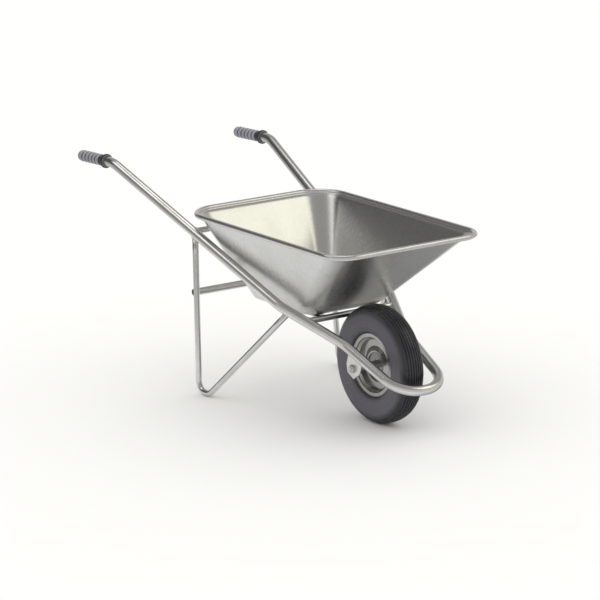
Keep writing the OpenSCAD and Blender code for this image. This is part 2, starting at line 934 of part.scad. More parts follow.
// Ring-shaped rubber tube that fills the tyre
module inner_tube() {
    gap = 0.6;
    low_r = valve_out_r;
    low_half_w = bead_toe_y - 6;
    high_r = tyre_d / 2 - tread_t - gap;
    half_w = tyre_w / 2 - side_t - gap;
    foot_r = low_r + 8;
    foot_y = bead_toe_y - gap;
    outer = whole_section(high_r, half_w, foot_r, foot_y);
    inner = whole_section(high_r - tube_wall, half_w - tube_wall, foot_r + tube_wall,
        foot_y - tube_wall);
    color(black_rubber)
        difference() {
            on_axle()
                rotate_extrude()
                    difference() {
                        polygon(concat(outer, [[low_r, -low_half_w], [low_r, low_half_w]]));
                        polygon(concat(inner, [[low_r + tube_wall, tube_wall - low_half_w],
                            [low_r + tube_wall, low_half_w - tube_wall]]));
                    }
            valve_bar(low_r - cut, low_r + tube_wall + cut, 1.5);
        }
}

module valve_stem() {
    bore_r = 1.5;
    color("goldenrod")
        difference() {
            valve_bar(valve_in_r, valve_out_r - fit_gap, valve_r);
            valve_bar(valve_in_r + 4, valve_out_r + cut, bore_r);
        }
}

module valve_cap() {
    color("black")
        difference() {
            valve_bar(valve_in_r - 2, valve_in_r - 2 + valve_cap_l, valve_cap_r);
            valve_bar(valve_in_r - slip, valve_in_r + valve_cap_l, valve_r + slip);
        }
}

frame_tube();
cross_tube(front_cross_back);  // front_cross_tube
cross_tube(rear_cross_back);  // rear_cross_tube
left_leg();
right_leg();
leg_brace();
left_grip();
right_grip();
tray();
rim_wire();
front_tray_tabs();
rear_tray_tabs();
tray_bolts();
tray_studs();
tray_washers();
tray_nuts();
left_axle_bracket();
right_axle_bracket();
axle();
axle_washers();
axle_nuts();
left_spacer();
right_spacer();
centre_spacer();
bearing_inner_rings();
bearing_outer_rings();
bearing_balls();
bearing_seals();
hub();
left_wheel_half();
right_wheel_half();
tyre();
inner_tube();
valve_stem();
valve_cap();
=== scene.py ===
import json
import math
import random

import bpy
from mathutils import Matrix, Vector


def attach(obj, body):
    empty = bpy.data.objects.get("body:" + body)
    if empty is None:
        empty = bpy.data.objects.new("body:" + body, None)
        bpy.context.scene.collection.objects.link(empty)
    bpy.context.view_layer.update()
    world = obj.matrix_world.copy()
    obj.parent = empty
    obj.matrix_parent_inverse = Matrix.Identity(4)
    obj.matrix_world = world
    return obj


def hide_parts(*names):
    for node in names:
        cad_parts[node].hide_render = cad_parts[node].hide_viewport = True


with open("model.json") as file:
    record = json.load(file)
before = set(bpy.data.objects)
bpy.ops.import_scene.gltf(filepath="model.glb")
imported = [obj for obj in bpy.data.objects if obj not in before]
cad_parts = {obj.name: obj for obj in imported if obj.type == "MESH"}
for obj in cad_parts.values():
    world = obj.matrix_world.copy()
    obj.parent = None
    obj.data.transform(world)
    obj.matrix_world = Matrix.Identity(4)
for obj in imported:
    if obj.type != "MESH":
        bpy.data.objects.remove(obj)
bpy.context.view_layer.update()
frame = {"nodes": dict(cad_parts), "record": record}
nodes = frame["nodes"]
scene = bpy.context.scene
MM = 0.001

# ================================================================ camera
CAMERA_AT = (9.3385, -6.6698, 3.3697)
FOCAL_LENGTHS_WIDE = 3468 / 600      # focal length, in widths of the picture
SENSOR_MM = 36
yaw, pitch, roll = math.radians(144.26), math.radians(14.953), math.radians(0.12)
forward = Vector((math.cos(pitch) * math.cos(yaw), math.cos(pitch) * math.sin(yaw), -math.sin(pitch)))
right = forward.cross(Vector((0, 0, 1))).normalized()
up = right.cross(forward)
camera_data = bpy.data.cameras.new("camera")
camera_data.sensor_width = SENSOR_MM
camera_data.lens = SENSOR_MM * FOCAL_LENGTHS_WIDE
camera_data.clip_end = 100
camera = bpy.data.objects.new("camera", camera_data)
turn = Matrix((right, up, -forward)).transposed().to_4x4()
camera.matrix_world = Matrix.Translation(CAMERA_AT) @ Matrix.Rotation(roll, 4, forward) @ turn
scene.collection.objects.link(camera)
scene.camera = camera
scene.view_settings.view_transform = "Standard"


# ================================================================ stage and light
def area_light(name, where, at, size, power, colour):
    """A soft box that adds reflections and no diffuse light."""
    data = bpy.data.lights.new(name, "AREA")
    data.shape = "RECTANGLE"
    data.size, data.size_y = size
    data.energy = power
    data.color = colour
    light = bpy.data.objects.new(name, data)
    light.location = where
    light.rotation_euler = (Vector(at) - Vector(where)).to_track_quat("-Z", "Y").to_euler()
    light.visible_diffuse = False
    scene.collection.objects.link(light)


def soft_sun(name, towards, strength, spread):
    """Even light from a wide patch of the ceiling, which adds no reflections."""
    data = bpy.data.lights.new(name, "SUN")
    data.energy = strength
    data.angle = math.radians(spread)
    light = bpy.data.objects.new(name, data)
    light.rotation_euler = Vector(towards).to_track_quat("-Z", "Y").to_euler()
    light.visible_glossy = False
    scene.collection.objects.link(light)


class Stage:
    """A node tree that looks one way to the camera and another way to every other ray."""

    def __init__(self, tree, output, shader):
        self.tree = tree
        tree.nodes.clear()
        self.seen = tree.nodes.new(shader)
        self.room = tree.nodes.new(shader)
        path = tree.nodes.new("ShaderNodeLightPath")
        mix = tree.nodes.new("ShaderNodeMixShader")
        out = tree.nodes.new(output)
        self.place = tree.nodes.new("ShaderNodeTexCoord")
        tree.links.new(path.outputs["Is Camera Ray"], mix.inputs["Fac"])
        tree.links.new(self.room.outputs[0], mix.inputs[1])
        tree.links.new(self.seen.outputs[0], mix.inputs[2])
        tree.links.new(mix.outputs["Shader"], out.inputs["Surface"])

    def measure(self, kind, source, other=None):
        """LENGTH of a vector, or its DISTANCE to or DOT_PRODUCT with another one."""
        node = self.tree.nodes.new("ShaderNodeVectorMath")
        node.operation = kind
        self.tree.links.new(source, node.inputs[0])
        if other:
            node.inputs[1].default_value = other
        return node.outputs["Value"]

    def fade(self, value, low, high, at_low, at_high):
        node = self.tree.nodes.new("ShaderNodeMapRange")
        node.interpolation_type = "SMOOTHSTEP"
        for name, number in (("From Min", low), ("From Max", high), ("To Min", at_low), ("To Max", at_high)):
            node.inputs[name].default_value = number
        self.tree.links.new(value, node.inputs["Value"])
        return node.outputs["Result"]

    def multiply_into(self, a, b, socket):
        node = self.tree.nodes.new("ShaderNodeMath")
        node.operation = "MULTIPLY"
        self.tree.links.new(a, node.inputs[0])
        self.tree.links.new(b, node.inputs[1])
        self.tree.links.new(node.outputs["Value"], self.room.inputs[socket])


# The background is white where it is seen directly. To every other ray it is a room that is bright
# round the horizon and darker overhead, with one dark corner, which the tray's far wall mirrors.
DARK_CORNER = (-0.78, -0.53, 0.33)
world = bpy.data.worlds.new("studio")
scene.world = world
world.use_nodes = True
sky = Stage(world.node_tree, "ShaderNodeOutputWorld", "ShaderNodeBackground")
sky.seen.inputs["Color"].default_value = (1, 1, 1, 1)
sky.seen.inputs["Strength"].default_value = 1.05
sky.room.inputs["Color"].default_value = (1, 0.99, 0.98, 1)
way = sky.place.outputs["Generated"]
split = sky.tree.nodes.new("ShaderNodeSeparateXYZ")
sky.tree.links.new(way, split.inputs["Vector"])
by_height = sky.fade(split.outputs["Z"], 0.22, 0.62, 0.72, 0.36)
by_corner = sky.fade(sky.measure("DOT_PRODUCT", way, DARK_CORNER), 0.70, 0.96, 1.0, 0.17)
sky.multiply_into(by_height, by_corner, "Strength")

# The paper sweep. To every ray but the camera's it gets darker away from the object, as painted shade, and
# it has a darker patch beside the front of the tray, on the far side, a painted shadow which the tray's
# front wall mirrors.
FLOOR_HALF = 30
DARK_PATCH = (0.40, 0.42, 0.0)
floor_mesh = bpy.data.meshes.new("floor")
floor_corners = [(x * FLOOR_HALF, y * FLOOR_HALF, 0) for x, y in ((-1, -1), (1, -1), (1, 1), (-1, 1))]
floor_mesh.from_pydata(floor_corners, [], [(0, 1, 2, 3)])
floor = bpy.data.objects.new("floor", floor_mesh)
scene.collection.objects.link(floor)
floor_mat = bpy.data.materials.new("floor")
floor_mat.use_nodes = True
paper = Stage(floor_mat.node_tree, "ShaderNodeOutputMaterial", "ShaderNodeBsdfDiffuse")
paper.seen.inputs["Color"].default_value = (0.84, 0.838, 0.82, 1)
spot = paper.place.outputs["Object"]
by_distance = paper.fade(paper.measure("LENGTH", spot), 0.9, 2.4, 0.82, 0.42)
by_patch = paper.fade(paper.measure("DISTANCE", spot, DARK_PATCH), 0.25, 0.75, 0.34, 1.0)
paper.multiply_into(by_distance, by_patch, "Color")
floor_mesh.materials.append(floor_mat)

# Soft boxes for the rear wall, the upper sides of the tubes and the rim; then light for the rest
LIT_POINT = (0.1, 0, 0.45)
WARM_WHITE = (1.0, 0.99, 0.97)
area_light("key", (2.6, 3.2, 4.2), LIT_POINT, (3.3, 2.6), 32, (1.0, 1.0, 0.83))
area_light("rail_box", (-1.35, -2.4, 3.7), LIT_POINT, (1.9, 1.9), 13, WARM_WHITE)
area_light("rim_box", (-0.9, 0.5, 4.6), LIT_POINT, (2.0, 2.0), 19, WARM_WHITE)
soft_sun("overhead", (0.25, -0.2, -1), 2.72, 150)


# ================================================================ the frame's sizes, in millimetres
AXLE_X, AXLE_Z = 522.0, 200.0
SLOPE = math.radians(22.7)          # of the rails
DROOP = math.radians(2.8)           # of the handles
PLANE_Z = AXLE_Z + 67.8             # the rails' centre lines, above the axle
FRAME_R, LEG_R, CROSS_R = 17.0, 10.5, 10.5
GRIP_R, GRIP_END_R, GRIP_L, COLLAR_R = 19.0, 9.0, 166.0, 25.0
REAR_X = -782.0                     # the grips' ends
HANDLE_V = 332.5                    # half the distance between the handles
SHOULDER_U, SHOULDER_V = 277.5, 222.4
WAIST_U, WAIST_V = 28.5, 126.0
LOOP_V, LOOP_REACH = 94.0, 260.0
BEND_X = REAR_X + 207.0
BEND_BACK = (AXLE_X - BEND_X) / math.cos(SLOPE)
HANDLE_Z = PLANE_Z + BEND_BACK * math.sin(SLOPE)
GRIP_END_X = REAR_X + (GRIP_R - GRIP_END_R) * math.sin(DROOP) + GRIP_END_R * (1 - math.cos(DROOP))
HANDLE_DIR = Vector((math.cos(DROOP), 0, math.sin(DROOP)))
HANDLE_END = Vector((GRIP_END_X, HANDLE_V, HANDLE_Z - (BEND_X - GRIP_END_X) * math.tan(DROOP)))


# ================================================================ materials
class Nodes:
    """A material's node tree, with short calls for the nodes it is made of."""

    def __init__(self, name):
        self.material = bpy.data.materials.new(name)
        self.material.use_nodes = True
        self.tree = self.material.node_tree
        self.bsdf = self.tree.nodes["Principled BSDF"]
        self.coord = self.tree.nodes.new("ShaderNodeTexCoord").outputs["Object"]

    def link(self, source, target):
        self.tree.links.new(source, target)

    def noise(self, scale, detail=4.0, rough=0.55, stretch=None):
        n = self.tree.nodes.new("ShaderNodeTexNoise")
        n.inputs["Scale"].default_value = scale
        n.inputs["Detail"].default_value = detail
        n.inputs["Roughness"].default_value = rough
        if stretch:
            m = self.tree.nodes.new("ShaderNodeMapping")
            m.inputs["Scale"].default_value = stretch
            self.link(self.coord, m.inputs["Vector"])
            self.link(m.outputs["Vector"], n.inputs["Vector"])
        else:
            self.link(self.coord, n.inputs["Vector"])
        return n.outputs["Fac"]

    def spangle(self, scale):
        n = self.tree.nodes.new("ShaderNodeTexVoronoi")
        n.inputs["Scale"].default_value = scale
        self.link(self.coord, n.inputs["Vector"])
        g = self.tree.nodes.new("ShaderNodeRGBToBW")
        self.link(n.outputs["Color"], g.inputs["Color"])
        return g.outputs["Val"]

    def to_range(self, value, low, high, new_low, new_high):
        n = self.tree.nodes.new("ShaderNodeMapRange")
        n.inputs["From Min"].default_value = low
        n.inputs["From Max"].default_value = high
        n.inputs["To Min"].default_value = new_low
        n.inputs["To Max"].default_value = new_high
        self.link(value, n.inputs["Value"])
        return n.outputs["Result"]

    def maths(self, kind, a, b):
        n = self.tree.nodes.new("ShaderNodeMath")
        n.operation = kind
        for socket, value in zip(n.inputs, (a, b)):
            if isinstance(value, (int, float)):
                socket.default_value = value
            else:
                self.link(value, socket)
        return n.outputs["Value"]

    def mix(self, factor, a, b):
        n = self.tree.nodes.new("ShaderNodeMix")
        n.data_type = "RGBA"
        self.link(factor, n.inputs["Factor"])
        for socket, value in ((n.inputs["A"], a), (n.inputs["B"], b)):
            if isinstance(value, tuple):
                socket.default_value = (*value, 1)
            else:
                self.link(value, socket)
        return n.outputs["Result"]

    def from_axle(self):
        """Distance from the wheel's axis, in metres."""
        move = self.tree.nodes.new("ShaderNodeVectorMath")
        move.operation = "SUBTRACT"
        move.inputs[1].default_value = (AXLE_X * MM, 0.0, AXLE_Z * MM)
        flat = self.tree.nodes.new("ShaderNodeVectorMath")
        flat.operation = "MULTIPLY"
        flat.inputs[1].default_value = (1, 0, 1)
        size = self.tree.nodes.new("ShaderNodeVectorMath")
        size.operation = "LENGTH"
        self.link(self.coord, move.inputs[0])
        self.link(move.outputs["Vector"], flat.inputs[0])
        self.link(flat.outputs["Vector"], size.inputs[0])
        return size.outputs["Value"]

    def from_handle(self):
        """Distance from the nearer handle's centre line, in metres."""
        parts = self.tree.nodes.new("ShaderNodeSeparateXYZ")
        self.link(self.coord, parts.inputs[0])
        y = self.maths("SUBTRACT", self.maths("ABSOLUTE", parts.outputs["Y"], 0.0), HANDLE_V * MM)
        x = self.maths("MULTIPLY", parts.outputs["X"], -math.sin(DROOP))
        z = self.maths("ADD", x, self.maths("MULTIPLY", parts.outputs["Z"], math.cos(DROOP)))
        line_z = HANDLE_END.z * math.cos(DROOP) - HANDLE_END.x * math.sin(DROOP)
        z = self.maths("SUBTRACT", z, line_z * MM)
        square = self.maths("ADD", self.maths("MULTIPLY", y, y), self.maths("MULTIPLY", z, z))
        return self.maths("SQRT", square, 0.0)

    def edges(self, radius):
        """The normal with its edges rounded, and how sharp they are: 0 on flat metal, towards 1 on edges."""
        bevel = self.tree.nodes.new("ShaderNodeBevel")
        bevel.samples = 4
        bevel.inputs["Radius"].default_value = radius
        geo = self.tree.nodes.new("ShaderNodeNewGeometry")
        dot = self.tree.nodes.new("ShaderNodeVectorMath")
        dot.operation = "DOT_PRODUCT"
        self.link(bevel.outputs["Normal"], dot.inputs[0])
        self.link(geo.outputs["Normal"], dot.inputs[1])
        return bevel.outputs["Normal"], self.to_range(dot.outputs["Value"], 1.0, 0.8, 0.0, 1.0)

    def bump(self, height, strength, distance, normal=None):
        n = self.tree.nodes.new("ShaderNodeBump")
        n.inputs["Strength"].default_value = strength
        n.inputs["Distance"].default_value = distance
        self.link(height, n.inputs["Height"])
        if normal is not None:
            self.link(normal, n.inputs["Normal"])
        return n.outputs["Normal"]


def metal(name, colour, rough, spangle=0.0, grain=None, bevel=0.0006, wave=0.0, tarnish=0.12,
          patchy=1.0, grit=0.16):
    """Zinc or steel: cloudy tarnish, fine grain, small scratches and brighter worn edges."""
    n = Nodes(name)
    cloud = n.noise(9.0, 5.0, 0.6)
    fine = n.noise(420.0, 3.0, 0.6)
    streak = n.noise(60.0, 4.0, 0.6, grain or (1.0, 1.0, 6.0))
    dark = tuple(c * (1 - tarnish) * k for c, k in zip(colour, (1.0, 0.995, 0.97)))
    tint = n.mix(n.to_range(cloud, 0.38, 0.64, 0.0, 1.0), colour, dark)
    tint = n.mix(n.to_range(streak, 0.45, 0.75, 0.0, 0.35), tint, tuple(c * 0.86 for c in colour))
    normal, worn = n.edges(bevel)
    tint = n.mix(n.maths("MULTIPLY", worn, 0.6), tint, tuple(min(1.0, c * 1.18) for c in colour))
    n.link(tint, n.bsdf.inputs["Base Color"])
    n.bsdf.inputs["Metallic"].default_value = 1.0
    r = n.to_range(cloud, 0.35, 0.68, rough - 0.035 * patchy, rough + 0.06 * patchy)
    r = n.maths("ADD", r, n.to_range(fine, 0.35, 0.7, -0.02, 0.04))
    height = n.maths("ADD", fine, n.maths("MULTIPLY", streak, 0.8))
    if spangle:
        cells = n.spangle(85.0)
        r = n.maths("ADD", r, n.to_range(cells, 0.0, 1.0, -spangle, spangle))
    n.link(r, n.bsdf.inputs["Roughness"])
    normal = n.bump(height, grit, 0.00025, normal)
    if wave:
        normal = n.bump(n.noise(7.0, 1.0, 0.4), wave, 0.006, normal)
    n.link(normal, n.bsdf.inputs["Normal"])
    return n.material


def rubber(name, colour, rough, dust=0.25, scale=1.0, coat=0.0, tread=None, grooves=None):
    """Rubber or plastic: paler patches of dust, paler edges and a fine moulded grain."""
    n = Nodes(name)
    cloud = n.noise(16.0 * scale, 5.0, 0.65)
    fine = n.noise(700.0 * scale, 3.0, 0.6)
    pale = tuple(c * 1.7 + 0.012 for c in colour)
    tint = n.mix(n.to_range(cloud, 0.4, 0.75, 0.0, dust), colour, pale)
    on_tread = None
    if tread:
        # away from the axle the rubber is shinier, and it is painted darker: painted shade on the tread and
        # shoulder, standing in for the light they don't get
        on_tread = n.to_range(n.from_axle(), 0.168, 0.186, 0.0, 1.0)
        # and painted shade darkens the rubber in the crease round the wheel's flange
        tint = n.mix(n.to_range(n.from_axle(), 0.1105, 0.1185, 0.75, 0.0), tint, tread)
        tint = n.mix(on_tread, tint, n.mix(n.to_range(cloud, 0.4, 0.75, 0.0, dust), tread,
                                           tuple(c * 1.6 + 0.005 for c in tread)))
    if grooves:
        # the ribs are painted lighter than the grooves between them and the collar: a painted highlight
        # along glossy black ribs
        away = n.from_handle()
        rib = n.maths("MULTIPLY", n.to_range(away, 0.0174, 0.0192, 0.0, 1.0),
                      n.to_range(away, 0.0206, 0.0212, 1.0, 0.0))
        tint = n.mix(rib, grooves, tint)
    normal, worn = n.edges(0.0009)
    tint = n.mix(n.maths("MULTIPLY", worn, 0.3), tint, pale)
    n.link(tint, n.bsdf.inputs["Base Color"])
    r = n.to_range(cloud, 0.35, 0.7, rough - 0.06, rough + 0.08)
    r = n.maths("ADD", r, n.to_range(fine, 0.3, 0.7, -0.03, 0.05))
    if on_tread is not None:
        r = n.maths("SUBTRACT", r, n.maths("MULTIPLY", on_tread, 0.2))
    n.link(r, n.bsdf.inputs["Roughness"])
    n.bsdf.inputs["Specular IOR Level"].default_value = 0.5 + coat
    n.link(n.bump(n.maths("ADD", fine, n.maths("MULTIPLY", cloud, 0.6)), 0.22, 0.0003, normal),
           n.bsdf.inputs["Normal"])
    return n.material


look = {
    "frame_zinc": metal("frame_zinc_look", (0.74, 0.74, 0.72), 0.2, wave=0.01),
    "tray_steel": metal("tray_steel_look", (0.69, 0.69, 0.675), 0.28, spangle=0.008, wave=0.008,
                        grain=(3.0, 3.0, 0.8), patchy=0.15, tarnish=0.04, grit=0.05),
    "wire_steel": metal("wire_steel_look", (0.56, 0.56, 0.55), 0.28),
    "plate_zinc": metal("plate_zinc_look", (0.80, 0.79, 0.75), 0.32, spangle=0.03, bevel=0.001),
    "fastener_zinc": metal("fastener_zinc_look", (0.66, 0.66, 0.65), 0.28, bevel=0.0007),
    "axle_steel": metal("axle_steel_look", (0.54, 0.54, 0.53), 0.24, grain=(1.0, 8.0, 1.0)),
    "bearing_steel": metal("bearing_steel_look", (0.66, 0.66, 0.68), 0.12, tarnish=0.05),
    "hub_steel": metal("hub_steel_look", (0.32, 0.32, 0.315), 0.28, bevel=0.0008),
    "wheel_steel": metal("wheel_steel_look", (0.43, 0.425, 0.41), 0.22, spangle=0.005, bevel=0.001,
                         patchy=0.4),
    "valve_brass": metal("valve_brass_look", (0.72, 0.54, 0.25), 0.25, tarnish=0.3),
    # the tread colour is painted shade, far darker than the sidewall's rubber
    "tyre_rubber": rubber("tyre_rubber_look", (0.112, 0.107, 0.126), 0.44, tread=(0.024, 0.024, 0.028)),
    # the grip's base colour is a painted highlight on the ribs; the grooves' colour is the black rubber
    # itself
    "grip_rubber": rubber("grip_rubber_look", (0.30, 0.295, 0.335), 0.28, 0.12, 1.6, 0.3,
                          grooves=(0.010, 0.010, 0.012)),
    "seal_steel": metal("seal_steel_look", (0.26, 0.26, 0.26), 0.25),
    "inner_tube_rubber": rubber("inner_tube_look", (0.018, 0.018, 0.018), 0.55),
    "cap_plastic": rubber("cap_plastic_look", (0.014, 0.014, 0.015), 0.4, 0.1, 2.0),
}
slot_of = {s["node"]: s["material_slot"] for s in frame["record"]["subparts"]}
for node, obj in nodes.items():
    obj.data.materials.clear()
    obj.data.materials.append(look[slot_of[node]])


# ================================================================ building blocks
def add_piece(name, points, faces, slot, body, replaced=(), smooth_angle=None):
    mesh = bpy.data.meshes.new(name)
    mesh.from_pydata([tuple(c * MM for c in p) for p in points], [], faces)
    mesh.update()
    obj = bpy.data.objects.new(name, mesh)
    scene.collection.objects.link(obj)
    mesh.materials.append(look[slot])
    mesh.shade_smooth()
    if smooth_angle:
        mesh.set_sharp_from_angle(angle=math.radians(smooth_angle))
    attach(obj, body)
    if replaced:
        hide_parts(*replaced)
    return obj


def grid_faces(rows, columns, wrap_rows=False, wrap_columns=True, start=0):
    """Quads of a grid of points stored row by row."""
    faces = []
    for i in range(rows if wrap_rows else rows - 1):
        for j in range(columns if wrap_columns else columns - 1):
            a = start + i * columns + j
            b = start + i * columns + (j + 1) % columns
            c = start + ((i + 1) % rows) * columns + (j + 1) % columns
            d = start + ((i + 1) % rows) * columns + j
            faces.append((a, b, c, d))
    return faces


def arc(cx, cy, r, a0, a1, steps):
    """Points on an arc, in degrees, both ends included."""
    out = []
    for i in range(steps + 1):
        a = math.radians(a0 + (a1 - a0) * i / steps)
        out.append((cx + r * math.cos(a), cy + r * math.sin(a)))
    return out


def lathe(profile, origin, axis, across, segments=96, closed=False):
    """Turns a profile of (radius, height along axis) about a line; returns points and faces."""
    origin, axis = Vector(origin), Vector(axis).normalized()
    u = (Vector(across) - axis * Vector(across).dot(axis)).normalized()
    v = axis.cross(u)
    points = []
    for r, h in profile:
        for k in range(segments):
            a = 2 * math.pi * k / segments
            points.append(origin + axis * h + (u * math.cos(a) + v * math.sin(a)) * r)
    return points, grid_faces(len(profile), segments, wrap_rows=closed)


def sweep(path, radius, segments=40, closed=False, wobble=None):
    """A tube along a path of points, with a section that doesn't twist."""
    count = len(path)
    path = [Vector(p) for p in path]
    tangents = []
    for i in range(count):
        if closed:
            d = path[(i + 1) % count] - path[i - 1]
        else:
            d = path[min(i + 1, count - 1)] - path[max(i - 1, 0)]
        tangents.append(d.normalized())
    side = tangents[0].orthogonal().normalized()
    frames = []
    for t in tangents:
        side = (side - t * side.dot(t)).normalized()
        frames.append((side.copy(), t.cross(side)))
    twist = 0.0
    if closed:
        last = (frames[-1][0] - tangents[0] * frames[-1][0].dot(tangents[0])).normalized()
        twist = math.atan2(last.dot(frames[0][1]), last.dot(frames[0][0]))
    points = []
    for i, p in enumerate(path):
        u, v = frames[i]
        r = radius * (wobble(i) if wobble else 1.0)
        for k in range(segments):
            a = 2 * math.pi * k / segments - twist * i / count
            points.append(p + (u * math.cos(a) + v * math.sin(a)) * r)
    faces = grid_faces(count, segments, wrap_rows=closed)
    if not closed:
        faces.append(tuple(range(segments - 1, -1, -1)))
        faces.append(tuple((count - 1) * segments + k for k in range(segments)))
    return points, faces


def bent_path(points, bends, step=2.2):
    """The centre line of a bent tube: straight runs joined by arcs of the given radii."""
    points = [Vector(p) for p in points]
    path = [points[0]]
    for i in range(1, len(points) - 1):
        a, b, c = points[i - 1], points[i], points[i + 1]
        d_in, d_out = (b - a).normalized(), (c - b).normalized()
        angle = d_in.angle(d_out)
        reach = bends[i - 1] * math.tan(angle / 2)
        start = b - d_in * reach
        normal = (d_out - d_in * d_out.dot(d_in)).normalized()
        centre = start + normal * bends[i - 1]
        straight(path, start)
        n = max(3, int(math.degrees(angle) / step))
        for k in range(1, n + 1):
            t = angle * k / n
            path.append(centre - normal * bends[i - 1] * math.cos(t) + d_in * bends[i - 1] * math.sin(t))
    straight(path, points[-1])
    return path


def straight(path, end, most=60.0):
    """Carries a path on to its end with evenly spaced points."""
    start = path[-1]
    n = max(1, int((end - start).length / most))
    for k in range(1, n + 1):
        path.append(start.lerp(end, k / n))


# ================================================================ the frame's centre lines
def on_frame(u, v):
    """A point in the plane of the rails: u forwards from the axle along the slope, v to the left."""
    return Vector((AXLE_X + u * math.cos(SLOPE), v, PLANE_Z - u * math.sin(SLOPE)))


def rail_v(back):
    """How far the left rail is from the middle, at a level distance back from the axle."""
    u = back / math.cos(SLOPE)
    if u > SHOULDER_U:
        return SHOULDER_V + (HANDLE_V - SHOULDER_V) * (u - SHOULDER_U) / (BEND_BACK - SHOULDER_U)
    return WAIST_V + (SHOULDER_V - WAIST_V) * (u - WAIST_U) / (SHOULDER_U - WAIST_U)


def rail_at(back):
    return on_frame(-back / math.cos(SLOPE), rail_v(back))


def other(p):
    """The same point on the other side."""
    return Vector((p[0], -p[1], p[2]))


END_WALL = 4.0                      # rubber past the end of the tube
LEG_TOP_BACK, STAY_BACK, FRONT_CROSS_BACK, REAR_CROSS_BACK = 675.0, 223.0, 165.0, 686.0
left_rail = [HANDLE_END + HANDLE_DIR * END_WALL, on_frame(-BEND_BACK, HANDLE_V),
             on_frame(-SHOULDER_U, SHOULDER_V), on_frame(-WAIST_U, WAIST_V),
             on_frame((LOOP_REACH - FRAME_R) / math.cos(SLOPE), LOOP_V)]
rail_bends = [100.0, 160.0, 160.0, 96.0]
rail_path = bent_path(left_rail + [other(p) for p in reversed(left_rail)], rail_bends + rail_bends[::-1])
add_piece("frame_tube_smooth", *sweep(rail_path, FRAME_R, 56), "frame_zinc", "frame", ("frame_tube",))

LEG_BEND, LEG_START = 40.0, 12.0    # the tube starts out of sight inside the rail
leg_top, stay_front = rail_at(LEG_TOP_BACK), rail_at(STAY_BACK)
heel = Vector((AXLE_X - 630.0, 298.0, LEG_R))
toe = Vector((AXLE_X - 566.0, 298.0, LEG_R))
leg_line = [leg_top + (heel - leg_top).normalized() * LEG_START, heel, toe,
            stay_front + (toe - stay_front).normalized() * LEG_START]
for side, flip in (("left", Vector), ("right", other)):
    path = bent_path([flip(p) for p in leg_line], [LEG_BEND, LEG_BEND])
    add_piece(side + "_leg_smooth", *sweep(path, LEG_R, 40), "frame_zinc", "frame", (side + "_leg",))


# ================================================================ welds where tubes meet
def rail_line(back):
    """A point and the direction of the left rail's axis, at a distance back from the axle."""
    return rail_at(back), (rail_at(back + 1.0) - rail_at(back - 1.0)).normalized()


def weld_ring(name, back, away, small_r, seed):
    """A bead along the curve where a small tube that runs towards `away` meets the rail."""
    rng = random.Random(seed)
    p0, axis = rail_line(back)
    d = (Vector(away) - p0).normalized()
    u = (axis - d * axis.dot(d)).normalized()
    v = d.cross(u)
    loop = []
    steps = 72
    for k in range(steps):
        a = 2 * math.pi * k / steps
        base = (u * math.cos(a) + v * math.sin(a)) * (small_r + 0.6)
        # the distance t along d at which the point is just outside the rail
        flat_b, flat_d = base - axis * base.dot(axis), d - axis * d.dot(axis)
        qa, qb = flat_d.dot(flat_d), 2 * flat_b.dot(flat_d)
        qc = flat_b.dot(flat_b) - (FRAME_R + 0.5) ** 2
        t = (-qb + math.sqrt(max(0.0, qb * qb - 4 * qa * qc))) / (2 * qa)
        loop.append(p0 + base + d * t)
    ripple = [1.0 + 0.10 * math.sin(k * 2 * math.pi / 4.5) + rng.uniform(-0.07, 0.07)
              for k in range(steps)]
    for sign, label in ((1, "left"), (-1, "right")):
        points = loop if sign > 0 else [other(p) for p in loop]
        add_piece(f"{label}_{name}", *sweep(points, 2.1, 12, closed=True, wobble=lambda i: ripple[i]),
                  "plate_zinc", "frame")


inwards = Vector((0, -200, 0))
weld_ring("leg_top_weld", LEG_TOP_BACK, heel, LEG_R, 1)
weld_ring("stay_weld", STAY_BACK, toe, LEG_R, 2)
weld_ring("front_cross_weld", FRONT_CROSS_BACK, rail_at(FRONT_CROSS_BACK) + inwards, CROSS_R, 3)
weld_ring("rear_cross_weld", REAR_CROSS_BACK, rail_at(REAR_CROSS_BACK) + inwards, CROSS_R, 4)


def rail_centre(x):
    """The left rail's centre line, where it passes x."""
    for a, b in zip(rail_path, rail_path[1:]):
        if a.x <= x <= b.x:
            return a.lerp(b, (x - a.x) / (b.x - a.x))


def bracket_weld(name, face, start, end, bead_r, seed):
    """A bead along the underside of the rail, on one face of the axle bracket."""
    rng = random.Random(seed)
    steps = 44
    line = []
    for k in range(steps + 1):
        centre = rail_centre(AXLE_X + start + (end - start) * k / steps)
        drop = math.sqrt(FRAME_R ** 2 - (face - centre.y) ** 2) / math.cos(SLOPE)
        line.append(Vector((centre.x, face, centre.z - drop)))
    ripple = [1.0 + 0.12 * math.sin(k * 1.5) + rng.uniform(-0.06, 0.06) for k in range(steps + 1)]
    ripple[0] = ripple[-1] = 0.4
    for label, flip in (("left", Vector), ("right", other)):
        add_piece(f"{label}_{name}", *sweep([flip(p) for p in line], bead_r, 12,
                  wobble=lambda i: ripple[i]), "plate_zinc", "frame")


bracket_weld("bracket_outer_weld", 112.4, -20.0, 47.0, 2.0, 5)


